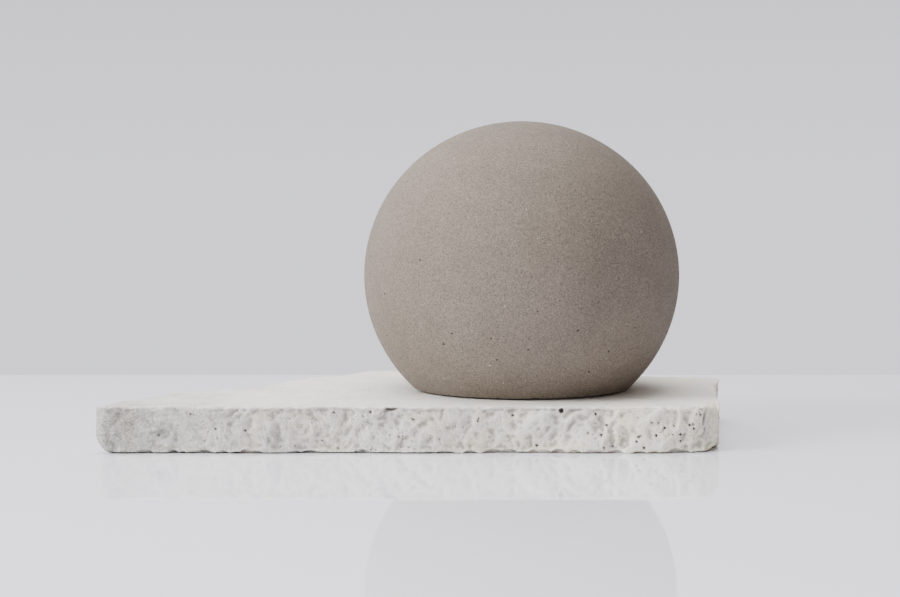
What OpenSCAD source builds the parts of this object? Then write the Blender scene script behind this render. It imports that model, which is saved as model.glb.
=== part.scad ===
// Round stone lantern.
// A hollow stone globe with a flat foot stands on a thick slab with broken edges.
// A press light with three cells stands in a shallow recess of the slab, under the globe,
// and shines out of a round mouth on the far side.
// The origin is on the globe's axis, on the underside of the slab. +Z is up, the front is -Y.

/* [Globe] */
// Width of the globe at its widest
globe_w = 150; // [125:1:220]
// Height of the full oval that the globe is cut from
globe_h = 146.6; // [120:0.1:215]
// Thickness of the stone wall
globe_wall = 9; // [6:0.5:14]
// Where the side turns under into the foot, degrees below the widest line
foot_turn = 46.2; // [40:0.1:52]
// Radius of the rounded edge of the foot
foot_round = 3; // [1:0.25:5]
// Width of the flat ring that the globe stands on
rim_land = 7; // [5:0.5:10]
// Diameter of the mouth in the far side
mouth_d = 64; // [40:1:90]

/* [Seat ring] */
// Thickness of the felt ring between the globe and the slab
seat_t = 0.8; // [0.5:0.1:3]
// Width of the felt ring
seat_w = 4; // [2:0.5:5]
// How far the felt stays inside the globe's flat foot
seat_inset = 2.5; // [0.5:0.1:4]

/* [Slab] */
// Length of the slab from end to end
slab_length = 294; // [240:1:400]
// Depth of the slab from front to back
slab_depth = 170; // [140:1:240]
// Thickness of the slab
slab_t = 21; // [12:0.5:40]
// Distance of the globe's axis from the slab's left end
axis_from_left = 192; // [160:1:220]
// Distance of the globe's axis from the slab's front edge
axis_from_front = 76; // [70:1:100]
// Depth of the round recess that the lamp stands in
recess_depth = 3; // [1:0.5:6]
// Gap around the lamp in its recess
recess_gap = 0.6; // [0.3:0.1:2]

/* [Lamp case] */
// Diameter of the lamp
lamp_d = 68; // [64:1:78]
// Wall of the lamp's moulded case
case_wall = 1.8; // [1.2:0.1:2.4]
// Width of the case's bottom rim
rim_w = 4; // [3.5:0.1:5]
// Thickness of the deck between the cells and the light
deck_t = 1.6; // [1.2:0.1:3]
// Height of a rubber foot
lamp_foot_t = 1; // [0.6:0.1:2]
// Diameter of a rubber foot
lamp_foot_d = 3.2; // [2.4:0.1:3.6]

/* [Battery cover] */
// Thickness of the cover
cover_t = 1.8; // [1.4:0.1:3]
// Gap around the cover
cover_gap = 0.25; // [0.1:0.05:0.4]
// Angle that the cover turns to unlock
cover_turn = 20; // [10:1:30]
// Angle that one bayonet lug spans
lug_span = 14; // [8:1:20]
// How far a lug stands out of the cover
lug_out = 1.8; // [1:0.1:2.2]
// Thickness of the seal on the cover
seal_t = 0.8; // [0.5:0.1:1.5]

/* [Cells and contacts] */
// Diameter of a cell
cell_d = 10.5; // [10.5:0.1:12]
// Length of a cell with its nub
cell_l = 44.5; // [40:0.5:46]
// Space between neighbouring cells
cell_gap = 0.4; // [0.2:0.1:1]
// Length of a contact spring in use
contact_spring_l = 3.2; // [2.5:0.1:4]
// Thickness of a contact plate
plate_t = 0.4; // [0.3:0.05:0.6]

/* [Light and switch] */
// Thickness of the circuit board
board_t = 1.6; // [1:0.1:2]
// Height of the board over the deck
standoff_h = 1; // [0.5:0.1:3]
// Side of one light-emitting diode
led_size = 5; // [3:0.5:6]
// Height of one light-emitting diode
led_h = 1.6; // [1:0.1:2.4]
// Side of the switch
switch_size = 7; // [6:0.5:8]
// Height of the switch
switch_h = 3.5; // [3:0.1:6]
// Diameter of the switch's plunger
plunger_d = 3; // [2:0.1:4]
// Travel of the lens when it is pressed
press_travel = 1.5; // [0.8:0.1:1.7]
// Diameter of a board screw
screw_d = 2.2; // [2:0.1:3]
// Length of a board screw under its head
screw_l = 8; // [6:0.5:9]

/* [Lens] */
// Thickness of the lens
lens_t = 1.4; // [1:0.1:2]
// Height of the lens's dome
lens_rise = 2.5; // [1:0.1:4]
// Width of the bezel's face around the lens
bezel_w = 6.2; // [5.5:0.1:8]
// Thickness of the bezel's face
bezel_t = 2.5; // [2:0.1:4]
// Gap between the lens and the bezel
lens_gap = 0.4; // [0.2:0.1:1]

/* [Hidden] */
$fn = 96;
EPS = 0.01;
// Steps along each oval profile of the globe
oval_steps = 30;

// Globe: the oval's half width and half height, and the foot's arc, tangent to the side
oval_a = globe_w / 2;
oval_b = globe_h / 2;
inner_a = oval_a - globe_wall;
inner_b = oval_b - globe_wall;
side_end = [oval_a * cos(foot_turn), -oval_b * sin(foot_turn)];
side_normal = unit([oval_b * cos(foot_turn), -oval_a * sin(foot_turn)]);
foot_arc = side_end - foot_round * side_normal;
foot_arc_start = atan2(side_normal[1], side_normal[0]);
// Heights of the globe's foot and of its widest line over the slab's underside
foot_z = slab_t + seat_t;
globe_z = foot_z + foot_round - foot_arc[1];
rim_open_r = foot_arc[0] - rim_land;
// Where the straight throat of the foot meets the hollow
throat_turn = acos(rim_open_r / inner_a);
throat_chamfer = 1;
arc_steps = 6;

// Felt ring
seat_r = foot_arc[0] - seat_inset;

// Slab: its outline as shares of its length and depth, from the front left, with broken edges
outline = [
    [0.000, 0.016], [0.012, 0.002], [0.130, 0.010], [0.235, 0.000], [0.370, 0.008],
    [0.500, 0.000], [0.640, 0.012], [0.765, 0.003], [0.860, 0.004], [0.925, 0.028],
    [0.950, 0.080], [0.955, 0.212], [0.968, 0.400], [0.980, 0.580], [1.000, 0.740],
    [0.990, 0.775], [0.860, 0.818], [0.700, 0.890], [0.540, 0.935], [0.412, 1.000],
    [0.395, 0.985], [0.347, 0.847], [0.290, 0.760], [0.262, 0.670], [0.225, 0.480],
    [0.140, 0.425], [0.085, 0.330], [0.035, 0.150]
];
// Broken corners of the slab: place as in the outline, height as a share, size and turn
corner_chips = [
    [0.000, 0.000, 0.00, 11, [32, 38, 20]],
    [0.955, 0.020, 0.00, 12, [40, 30, 55]],
    [0.412, 1.000, 0.00, 13, [35, 40, 10]],
    [1.000, 0.745, 1.00, 7, [30, 45, 15]]
];

// Lamp case, from the recess's floor upwards
lamp_r = lamp_d / 2;
recess_z = slab_t - recess_depth;
recess_r = lamp_r + recess_gap;
case_z = recess_z + lamp_foot_t;
cover_lift = 0.2;
cover_z = case_z + cover_lift;
cover_top_z = cover_z + cover_t;
ledge_z = cover_top_z + seal_t;
ledge_t = 1;
cell_lift = 0.2;
cell_z = cover_top_z + cell_lift + cell_d / 2;
deck_z = cell_z + cell_d / 2 + 0.3;
deck_top_z = deck_z + deck_t;
board_z = deck_top_z + standoff_h;
board_top_z = board_z + board_t;

// Battery cover and its bayonet
rim_bore_r = lamp_r - rim_w;
cover_r = rim_bore_r - cover_gap;
lug_count = 3;
lug_t = 1;
lug_z = cover_top_z - lug_t;
slot_clear = 0.12;
slot_clear_deg = 0.6;
slot_r = cover_r + lug_out + cover_gap;
seal_w = 1;
seal_r = cover_r - 0.15;
coin_slot = [22, 2.4, 0.9];

// Cells lie side by side and point by turns to the right and to the left
cell_pitch = cell_d + cell_gap;
cell_rows = [-1, 0, 1];
contact_x = (cell_l + contact_spring_l) / 2;
nub_l = 1;
nub_r = 1.9;
cell_over_ledge = cell_z - ledge_z - ledge_t;
cell_half_w = sqrt(pow(cell_d / 2, 2) - pow(cell_over_ledge, 2));
cell_corner_r = norm([contact_x - nub_l, cell_pitch + cell_half_w]);
ledge_bore_r = max(seal_r - seal_w - 0.2, cell_corner_r + 0.3);
plate_h = 8;
plate_w = 6;
plate_z = cell_z - plate_h / 2;
tab_w = 2;
tab_over_board = 0.4;
tab_slot_gap = 0.3;
end_rib_t = 1.5;
end_rib_w = 2 * cell_pitch + 9;
cell_rib = [30, 1, 2.4];

// Board, diodes and reflector
board_r = lamp_r - case_wall - 2.9;
led_ring_r = 14;
led_count = 3;
led_window = led_size + 1;
screw_r = screw_d / 2;
screw_y = cell_pitch + cell_d / 2 + 3.35;
screw_head_r = 2;
screw_head_h = 1.4;
screw_clear = 0.02;
boss_r = 2.6;
boss_drop = 4;
reflector_t = 0.8;
reflector_base_r = screw_y + screw_head_r + 0.5;
reflector_gap = 0.5;
switch_hole_r = switch_size / 2 + 1.9;

// Bezel and lens, downwards from the lens's flange
plunger_out = 2;
plunger_in = 1.7;
plunger_clear = 0.05;
plunger_top_z = board_top_z + switch_h + plunger_out;
lens_boss_h = 0.9;
lens_boss_r = 2.2;
lens_under_z = plunger_top_z + lens_boss_h;
lens_top_z = lens_under_z + lens_t;
lens_r = lamp_r - bezel_w - lens_gap;
lens_edge_z = lens_top_z - lens_rise;
lens_ball_r = (lens_r * lens_r + lens_rise * lens_rise) / (2 * lens_rise);
flange_t = 1;
flange_w = 3.2;
flange_z = board_top_z + press_travel + 0.7;
lip_gap = 0.1;
bezel_z = flange_z + flange_t + lip_gap;
bezel_round = 1.2;
spigot_h = 2;
spigot_t = 0.9;
spigot_gap = 0.1;
reflector_top_r = lens_r - lens_t - reflector_gap;
// The reflector's rim stays under the pressed lens
lens_hollow_r = lens_ball_r - lens_t;
lens_drop = lens_hollow_r - sqrt(pow(lens_hollow_r, 2) - pow(reflector_top_r, 2));
reflector_top_z = lens_under_z - lens_drop - press_travel - reflector_gap;

// Springs
lens_spring_r = switch_size / 2 + 3.7;
lens_spring_wire = 0.3;
lens_spring_turns = 4.5;
lens_spring_z = board_top_z + reflector_t + lens_spring_wire;
lens_spring_top_z = lens_top_z - lens_t - lens_spring_wire - 0.25;
contact_spring_r = 2.8;
contact_wire = 0.25;
contact_turns = 3.5;
coil_steps = 12;
wire_sides = 6;

function unit(v) = v / norm(v);
// A point of an oval with half axes a and b, t degrees above the widest line
function oval_point(a, b, t) = [a * cos(t), b * sin(t)];
// A point of the slab's outline in millimetres from the globe's axis
function slab_point(p) = [p[0] * slab_length - axis_from_left, p[1] * slab_depth - axis_from_front];
// The way a cell points: rows by turns to the right and to the left
function cell_way(row) = row == 0 ? -1 : 1;

// A ring from z0 to z1
module tube(r_out, r_in, z0, z1) {
    difference() {
        translate([0, 0, z0])
            cylinder(r = r_out, h = z1 - z0);
        translate([0, 0, z0 - 1])
            cylinder(r = r_in, h = z1 - z0 + 2);
    }
}

// A piece of a ring, from one angle to another
module ring_piece(r_in, r_out, z0, z1, from_deg, to_deg) {
    rotate([0, 0, from_deg])
        rotate_extrude(angle = to_deg - from_deg)
            translate([r_in, z0])
                square([r_out - r_in, z1 - z0]);
}

// A wire of radius w wound to radius r, rising by h in a number of turns
module coil(r, w, h, turns) {
    rings = ceil(turns * coil_steps);
    points = [
        for (i = [0 : rings])
            let (around = 360 * turns * i / rings, up = h * i / rings)
                for (j = [0 : wire_sides - 1])
                    let (side = 360 * j / wire_sides, out = r + w * cos(side))
                        [out * cos(around), out * sin(around), up + w * sin(side)]
    ];
    start_cap = [[for (j = [0 : wire_sides - 1]) j]];
    end_cap = [[for (j = [wire_sides - 1 : -1 : 0]) rings * wire_sides + j]];
    walls = [
        for (i = [0 : rings - 1])
            for (j = [0 : wire_sides - 1])
                let (k = (j + 1) % wire_sides, a = i * wire_sides, b = a + wire_sides)
                    [a + j, b + j, b + k, a + k]
    ];
    polyhedron(points = points, faces = concat(start_cap, end_cap, walls));
}

// Globe ----------------------------------------------------------------------

module globe_profile() {
    outside = [
        for (i = [0 : oval_steps])
            oval_point(oval_a, oval_b, 90 - (90 + foot_turn) * i / oval_steps)
    ];
    foot = [
        for (i = [1 : arc_steps])
            let (t = foot_arc_start + (-90 - foot_arc_start) * i / arc_steps)
                foot_arc + foot_round * [cos(t), sin(t)]
    ];
    foot_y = foot_arc[1] - foot_round;
    throat = [
        [rim_open_r + throat_chamfer, foot_y],
        [rim_open_r, foot_y + throat_chamfer]
    ];
    inside = [
        for (i = [0 : oval_steps])
            oval_point(inner_a, inner_b, -throat_turn + (90 + throat_turn) * i / oval_steps)
    ];
    polygon(concat(outside, foot, throat, inside));
}

module globe() {
    color([0.55, 0.51, 0.47])
        difference() {
            translate([0, 0, globe_z])
                rotate_extrude()
                    globe_profile();
            translate([0, 0, globe_z])
                rotate([-90, 0, 0])
                    cylinder(d = mouth_d, h = globe_w);
        }
}

module seat_ring() {
    color([0.16, 0.15, 0.14])
        tube(seat_r, seat_r - seat_w, slab_t, foot_z);
}

// Slab -----------------------------------------------------------------------

module slab() {
    color([0.85, 0.84, 0.81])
        difference() {
            linear_extrude(slab_t)
                polygon([for (p = outline) slab_point(p)]);
            translate([0, 0, recess_z])
                cylinder(r = recess_r, h = recess_depth + 1);
            for (chip = corner_chips) {
                spot = slab_point(chip);
                translate([spot[0], spot[1], chip[2] * slab_t])
                    rotate(chip[4])
                        cube(chip[3], center = true);
            }
        }
}

// Lamp case ------------------------------------------------------------------

// A slot that a lug turns in, and the entry that it comes up through
module bayonet_slot() {
    half = lug_span / 2 + slot_clear_deg;
    entry_half = half - slot_clear_deg / 3;
    ring_piece(cover_r - 1, slot_r, lug_z - slot_clear, ledge_z, -half, cover_turn + half);
    ring_piece(cover_r - 2, slot_r - slot_clear, case_z - 1, lug_z + lug_t / 2,
               cover_turn - entry_half, cover_turn + entry_half);
}

module contact_rib(side) {
    x = contact_x + plate_t;
    height = deck_z - ledge_z - ledge_t;
    translate([side > 0 ? x : -x - end_rib_t, -end_rib_w / 2, ledge_z + ledge_t])
        cube([end_rib_t, end_rib_w, height + EPS]);
}

// The two plates that lead to the board: one at each end, on opposite outer rows
module tab(side, gap) {
    x = contact_x - gap;
    thick = plate_t + 2 * gap;
    wide = tab_w + 2 * gap;
    bottom = plate_z + plate_h - (gap > 0 ? 0 : EPS);
    translate([side > 0 ? x : -x - thick, side * cell_pitch - wide / 2, bottom])
        cube([thick, wide, board_top_z + tab_over_board - bottom + gap]);
}

module lamp_housing() {
    color([0.88, 0.88, 0.86])
        difference() {
            union() {
                tube(lamp_r, lamp_r - case_wall, case_z, bezel_z);
                tube(lamp_r - case_wall / 2, rim_bore_r, case_z, ledge_z + ledge_t / 2);
                tube(lamp_r - case_wall / 2, ledge_bore_r, ledge_z, ledge_z + ledge_t);
                translate([0, 0, deck_z])
                    cylinder(r = lamp_r - case_wall / 2, h = deck_t);
                for (side = [-1, 1]) {
                    contact_rib(side);
                    translate([-cell_rib[0] / 2, side * cell_pitch / 2 - cell_rib[1] / 2,
                               deck_z - cell_rib[2]])
                        cube([cell_rib[0], cell_rib[1], cell_rib[2] + EPS]);
                    translate([0, side * screw_y, deck_z - boss_drop])
                        cylinder(r = boss_r, h = board_z - deck_z + boss_drop);
                }
            }
            for (i = [0 : lug_count - 1])
                rotate([0, 0, 90 + 360 * i / lug_count])
                    bayonet_slot();
            for (side = [-1, 1]) {
                tab(side, tab_slot_gap);
                translate([0, side * screw_y, deck_z - boss_drop - 1])
                    cylinder(r = screw_r + screw_clear, h = boss_drop + board_z - deck_z + 2);
            }
        }
}

module lamp_bezel() {
    top = bezel_z + bezel_t;
    spigot_r = lamp_r - case_wall - spigot_gap;
    bore = lens_r + lens_gap;
    color([0.93, 0.93, 0.92])
        rotate_extrude()
            polygon([
                [spigot_r, bezel_z - spigot_h], [spigot_r, bezel_z], [lamp_r, bezel_z],
                [lamp_r, top - bezel_round], [lamp_r - bezel_round / 3, top - bezel_round / 3],
                [lamp_r - bezel_round, top], [bore + bezel_round / 2, top],
                [bore, top - bezel_round / 2], [bore, bezel_z],
                [spigot_r - spigot_t, bezel_z], [spigot_r - spigot_t, bezel_z - spigot_h]
            ]);
}

module lamp_feet() {
    color([0.12, 0.12, 0.12])
        for (i = [0 : 2])
            rotate([0, 0, 30 + 120 * i])
                translate([lamp_r - rim_w / 2, 0, recess_z])
                    cylinder(d = lamp_foot_d, h = lamp_foot_t);
}

// Battery cover --------------------------------------------------------------

module battery_cover() {
    color([0.80, 0.80, 0.78])
        difference() {
            union() {
                translate([0, 0, cover_z])
                    cylinder(r = cover_r, h = cover_t);
                for (i = [0 : lug_count - 1])
                    rotate([0, 0, 90 + 360 * i / lug_count])
                        ring_piece(cover_r - 1, cover_r + lug_out, lug_z, cover_top_z,
                                   -lug_span / 2, lug_span / 2);
            }
            translate([-coin_slot[0] / 2, -coin_slot[1] / 2, cover_z - 1])
                cube([coin_slot[0], coin_slot[1], coin_slot[2] + 1]);
        }
}

module cover_seal() {
    color([0.10, 0.10, 0.10])
        tube(seal_r, seal_r - seal_w, cover_top_z, ledge_z);
}

// Cells and contacts ---------------------------------------------------------

// A cell's nub touches the plate at the end that the cell points to
module battery_cell(row) {
    way = cell_way(row);
    color([0.35, 0.42, 0.46])
        translate([way * contact_x, row * cell_pitch, cell_z])
            rotate([0, -90 * way, 0]) {
                cylinder(r = nub_r, h = nub_l + EPS);
                translate([0, 0, nub_l])
                    cylinder(d = cell_d, h = cell_l - nub_l);
            }
}

// A plate behind the rows from first to last, at one end of the cells
module contact_plate(side, first, last) {
    x = side > 0 ? contact_x : -contact_x - plate_t;
    wide = (last - first) * cell_pitch + plate_w;
    translate([x, first * cell_pitch - plate_w / 2, plate_z])
        cube([plate_t, wide, plate_h]);
}

module contact_plates() {
    color([0.76, 0.74, 0.68]) {
        for (side = [-1, 1]) {
            contact_plate(side, side > 0 ? -1 : 0, side > 0 ? 0 : 1);
            union() {
                contact_plate(side, side, side);
                tab(side, 0);
            }
        }
    }
}

// Each spring fills the space behind a cell's flat end
module contact_springs() {
    room = contact_spring_l - 2 * contact_wire - 0.1;
    color([0.70, 0.70, 0.70])
        for (row = cell_rows)
            translate([-cell_way(row) * contact_x, row * cell_pitch, cell_z])
                rotate([0, 90 * cell_way(row), 0])
                    translate([0, 0, contact_wire + 0.05])
                        coil(contact_spring_r, contact_wire, room, contact_turns);
}

// Board, diodes, reflector ---------------------------------------------------

module circuit_board() {
    color([0.12, 0.32, 0.22])
        difference() {
            translate([0, 0, board_z])
                cylinder(r = board_r, h = board_t);
            for (side = [-1, 1]) {
                tab(side, tab_slot_gap);
                translate([0, side * screw_y, board_z - 1])
                    cylinder(r = screw_r + 0.2, h = board_t + 2);
            }
        }
}

module at_each_led() {
    for (i = [0 : led_count - 1])
        rotate([0, 0, 360 * i / led_count])
            translate([led_ring_r, 0, board_top_z])
                children();
}

module leds() {
    color([0.95, 0.90, 0.60])
        at_each_led()
            union() {
                translate([-led_size / 2, -led_size / 2, 0])
                    cube([led_size, led_size, led_h * 0.8]);
                cylinder(d = led_size * 0.8, h = led_h);
            }
}

module reflector() {
    base_top = board_top_z + reflector_t;
    color([0.96, 0.96, 0.95])
        difference() {
            rotate_extrude()
                polygon([
                    [switch_hole_r, board_top_z], [reflector_base_r, board_top_z],
                    [reflector_top_r, reflector_top_z - reflector_t],
                    [reflector_top_r, reflector_top_z],
                    [reflector_top_r - reflector_t, reflector_top_z],
                    [reflector_base_r - reflector_t / 2, base_top], [switch_hole_r, base_top]
                ]);
            at_each_led()
                translate([-led_window / 2, -led_window / 2, -1])
                    cube([led_window, led_window, reflector_t + 2]);
            for (side = [-1, 1])
                translate([0, side * screw_y, board_top_z - 1])
                    cylinder(r = screw_r + 0.2, h = reflector_t + 2);
        }
}

module board_screws() {
    seat_z = board_top_z + reflector_t;
    color([0.72, 0.72, 0.74])
        for (side = [-1, 1])
            translate([0, side * screw_y, seat_z])
                difference() {
                    union() {
                        cylinder(r = screw_head_r, h = screw_head_h);
                        translate([0, 0, -screw_l])
                            cylinder(r = screw_r, h = screw_l + EPS);
                    }
                    for (turn = [0, 90])
                        rotate([0, 0, turn])
                            translate([-1.2, -0.25, screw_head_h - 0.7])
                                cube([2.4, 0.5, 1]);
                }
}

// Switch and lens ------------------------------------------------------------

module switch_case() {
    hole_z = board_top_z + 0.2;
    color([0.15, 0.15, 0.16])
        difference() {
            translate([-switch_size / 2, -switch_size / 2, board_top_z])
                cube([switch_size, switch_size, switch_h]);
            translate([0, 0, hole_z])
                cylinder(r = plunger_d / 2 + plunger_clear, h = switch_h + 1);
        }
}

module switch_plunger() {
    bottom = plunger_top_z - plunger_out - plunger_in;
    color([0.85, 0.30, 0.22])
        translate([0, 0, bottom])
            cylinder(d = plunger_d, h = plunger_top_z - bottom);
}

module lens_ball(inset) {
    translate([0, 0, lens_top_z - lens_ball_r])
        sphere(r = lens_ball_r - inset, $fn = 360);
}

module lamp_lens() {
    color([0.95, 0.94, 0.90]) {
        difference() {
            union() {
                intersection() {
                    translate([0, 0, flange_z])
                        cylinder(r = lens_r, h = lens_top_z - flange_z + 1);
                    lens_ball(0);
                }
                translate([0, 0, flange_z])
                    cylinder(r = lens_r + flange_w, h = flange_t);
            }
            intersection() {
                translate([0, 0, flange_z - 1])
                    cylinder(r = lens_r - lens_t, h = lens_top_z - flange_z + 2);
                lens_ball(lens_t);
            }
        }
        translate([0, 0, plunger_top_z])
            cylinder(r = lens_boss_r, h = lens_boss_h + lens_t / 2);
    }
}

module lens_spring() {
    color([0.74, 0.74, 0.76])
        translate([0, 0, lens_spring_z])
            coil(lens_spring_r, lens_spring_wire, lens_spring_top_z - lens_spring_z,
                 lens_spring_turns);
}

globe();
seat_ring();
slab();
lamp_housing();
lamp_bezel();
lamp_lens();
reflector();
circuit_board();
leds();
switch_case();
switch_plunger();
lens_spring();
battery_cell(-1);  // battery_cell_1
battery_cell(0);  // battery_cell_2
battery_cell(1);  // battery_cell_3
contact_plates();
contact_springs();
battery_cover();
cover_seal();
board_screws();
lamp_feet();
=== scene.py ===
# %% [markdown]
# # A round stone lantern
# The lantern is a hollow globe of cast stone with a flat foot. It stands on a thick slab whose edges
# were broken, not sawn. A small press light stands under the globe, in a shallow recess of the slab,
# and shines out of a round mouth on the far side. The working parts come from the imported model, which
# is loaded as a fixed frame. This lesson gives each of them its finish, and makes anew the pieces
# whose surface is the whole point: the globe, the slab and the springs.

# %% Load the frame
import math

import bmesh
import bpy
import numpy as np
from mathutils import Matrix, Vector


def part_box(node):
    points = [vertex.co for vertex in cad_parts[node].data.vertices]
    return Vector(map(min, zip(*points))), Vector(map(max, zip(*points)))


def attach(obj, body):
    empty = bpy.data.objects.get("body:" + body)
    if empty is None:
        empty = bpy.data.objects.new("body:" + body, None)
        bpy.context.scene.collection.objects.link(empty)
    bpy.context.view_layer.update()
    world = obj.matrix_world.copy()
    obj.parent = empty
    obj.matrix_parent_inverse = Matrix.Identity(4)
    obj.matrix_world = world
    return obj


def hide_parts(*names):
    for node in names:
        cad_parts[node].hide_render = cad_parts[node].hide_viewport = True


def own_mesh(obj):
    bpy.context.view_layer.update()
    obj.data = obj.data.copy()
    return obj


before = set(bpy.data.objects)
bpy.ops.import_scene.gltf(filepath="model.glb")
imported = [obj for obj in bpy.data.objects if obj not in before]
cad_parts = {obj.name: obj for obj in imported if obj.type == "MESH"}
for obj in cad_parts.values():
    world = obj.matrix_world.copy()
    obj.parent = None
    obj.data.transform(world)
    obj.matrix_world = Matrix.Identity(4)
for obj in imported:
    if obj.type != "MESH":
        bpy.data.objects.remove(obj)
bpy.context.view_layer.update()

# %% [markdown]
# ## Sizes
# Every length below is in metres and is read from the frame, so the new pieces always agree with the
# working model. The globe's oval is flatter than a ball: its half height is a little less than its
# half width. The foot is a small arc that touches the side without a kink.

# %% Sizes from the frame
MM = 0.001
TAU = 2 * math.pi
globe_low, globe_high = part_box("globe")
slab_low, slab_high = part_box("slab")
lamp_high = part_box("lamp_housing")[1]

# The box of the frame's globe is a little narrower than the oval that its side is part of
BOX_SHARE = 149.9 / 150
FLATNESS = 146.6 / 150
half_w = (globe_high.x - globe_low.x) / 2 / BOX_SHARE
half_h = half_w * FLATNESS
wall = 9 * MM
foot_z = globe_low.z
globe_z = globe_high.z - half_h
slab_top = slab_high.z
mouth_r = 32 * MM
lamp_r = lamp_high.x
print(f"globe {2 * half_w:.4f} m wide, foot at {foot_z:.4f} m, widest line at {globe_z:.4f} m")

# %% [markdown]
# ## From a grid of points to a mesh
# A surface is a function of two parameters. Worked out on a grid of rows and columns it gives an array
# of points, and the cells of the grid are the faces. `put_mesh` puts whole arrays into Blender at once,
# leaving out the points that no face uses. Then it joins the points that lie on each other, at seams
# and poles, and turns every face outwards.

# %% Grid and mesh helpers
def grid_cells(rows, cols):
    """Corner numbers of each cell of a grid whose last column is joined to its first."""
    i, j = np.meshgrid(np.arange(rows - 1), np.arange(cols), indexing="ij")
    k = (j + 1) % cols
    corners = [i * cols + j, i * cols + k, (i + 1) * cols + k, (i + 1) * cols + j]
    return np.stack(corners, -1).reshape(-1, 4)


def put_mesh(name, points, faces, merge=1e-6, outwards=True, **values):
    """points is n by 3; each array in faces has one row of corner numbers per face.
    Each of the values is an array with a number per point, and the mesh keeps it as an attribute."""
    points = np.asarray(points, float).reshape(-1, 3)
    used, loops = np.unique(np.concatenate([f.ravel() for f in faces]), return_inverse=True)
    sizes = np.concatenate([np.full(len(f), f.shape[1]) for f in faces])
    mesh = bpy.data.meshes.new(name)
    mesh.vertices.add(len(used))
    mesh.vertices.foreach_set("co", points[used].astype(np.float32).ravel())
    mesh.loops.add(len(loops))
    mesh.loops.foreach_set("vertex_index", loops.astype(np.int32))
    mesh.polygons.add(len(sizes))
    mesh.polygons.foreach_set("loop_start", np.r_[0, np.cumsum(sizes)[:-1]].astype(np.int32))
    mesh.update(calc_edges=True)
    for key, value in values.items():
        mesh.attributes.new(key, "FLOAT", "POINT").data.foreach_set("value", value[used].astype(np.float32))
    bm = bmesh.new()
    bm.from_mesh(mesh)
    bmesh.ops.remove_doubles(bm, verts=bm.verts, dist=merge)
    if outwards:
        bmesh.ops.recalc_face_normals(bm, faces=bm.faces)
    bm.to_mesh(mesh)
    bm.free()
    mesh.polygons.foreach_set("use_smooth", np.ones(len(mesh.polygons), bool))
    mesh.update()
    piece = bpy.data.objects.new(name, mesh)
    bpy.context.scene.collection.objects.link(piece)
    return piece


def place_piece(piece, body, slot, material, *nodes):
    """A finished piece rides on its body, stands for its CAD nodes and wears its material."""
    piece.data.materials.clear()
    piece.data.materials.append(material)
    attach(piece, body)
    if nodes:
        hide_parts(*nodes)
    print(f"{piece.name}: {len(piece.data.vertices)} points, {len(piece.data.polygons)} faces")


# %% [markdown]
# ## Noise, for broken and cast surfaces
# Stone needs shapes that look random but come out the same each run. A lattice of random numbers,
# picked by a whole-number hash and blended smoothly in between, gives soft noise. The distance to the
# nearest of many scattered points gives cells, which make the scoops of a broken face.

# %% Noise helpers
def scatter(cell, seed):
    """A random number from 0 to 1 for each whole-number cell: a hash of its three coordinates."""
    c = cell.astype(np.int64)
    h = c[..., 0] * 374761393 + c[..., 1] * 668265263 + c[..., 2] * 2147483647
    h = (h + seed * 974634777) & 0xFFFFFFFF
    h = ((h ^ (h >> 13)) * 1274126177) & 0xFFFFFFFF
    h = ((h ^ (h >> 16)) * 2246822519) & 0xFFFFFFFF
    return ((h ^ (h >> 15)) & 0xFFFFFF) / float(0xFFFFFF)


def soft_noise(p, size, seed):
    """Smooth noise from 0 to 1: corner numbers of the lattice cell, blended with 3t^2 - 2t^3."""
    q = p / size
    base = np.floor(q)
    t = q - base
    t = t * t * (3 - 2 * t)
    total = 0
    for corner in np.ndindex(2, 2, 2):
        step = np.array(corner)
        weight = np.prod(np.where(step == 1, t, 1 - t), axis=-1)
        total = total + weight * scatter(base + step, seed)
    return total


def rough_noise(p, size, seed, octaves=4):
    """Several soft noises added, each half the size and half the strength of the last."""
    total, strength, full = 0, 1.0, 0.0
    for k in range(octaves):
        total = total + strength * soft_noise(p, size / 2 ** k, seed + k)
        full += strength
        strength *= 0.5
    return total / full


def cell_noise(p, size, seed):
    """Distance to the nearest scattered point, in cells of the given size."""
    q = p / size
    base = np.floor(q)
    near = np.full(q.shape[:-1], 9.0)
    for corner in np.ndindex(3, 3, 3):
        cell = base + np.array(corner) - 1
        spot = cell + np.stack([scatter(cell, seed + k) for k in (11, 23, 37)], -1)
        near = np.minimum(near, np.linalg.norm(spot - q, axis=-1))
    return near


def smooth_step(x, low, high):
    """0 below low, 1 above high, and 3t^2 - 2t^3 between."""
    t = np.clip((x - low) / (high - low), 0, 1)
    return t * t * (3 - 2 * t)


# %% [markdown]
# ## Finishes
# A material is a small graph of nodes. Patterns read Object coordinates, so that they sit in the stone
# and run on round corners, as a real grain does. `Finish` keeps the graph short to write: each call
# adds one node and returns its output.

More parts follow.
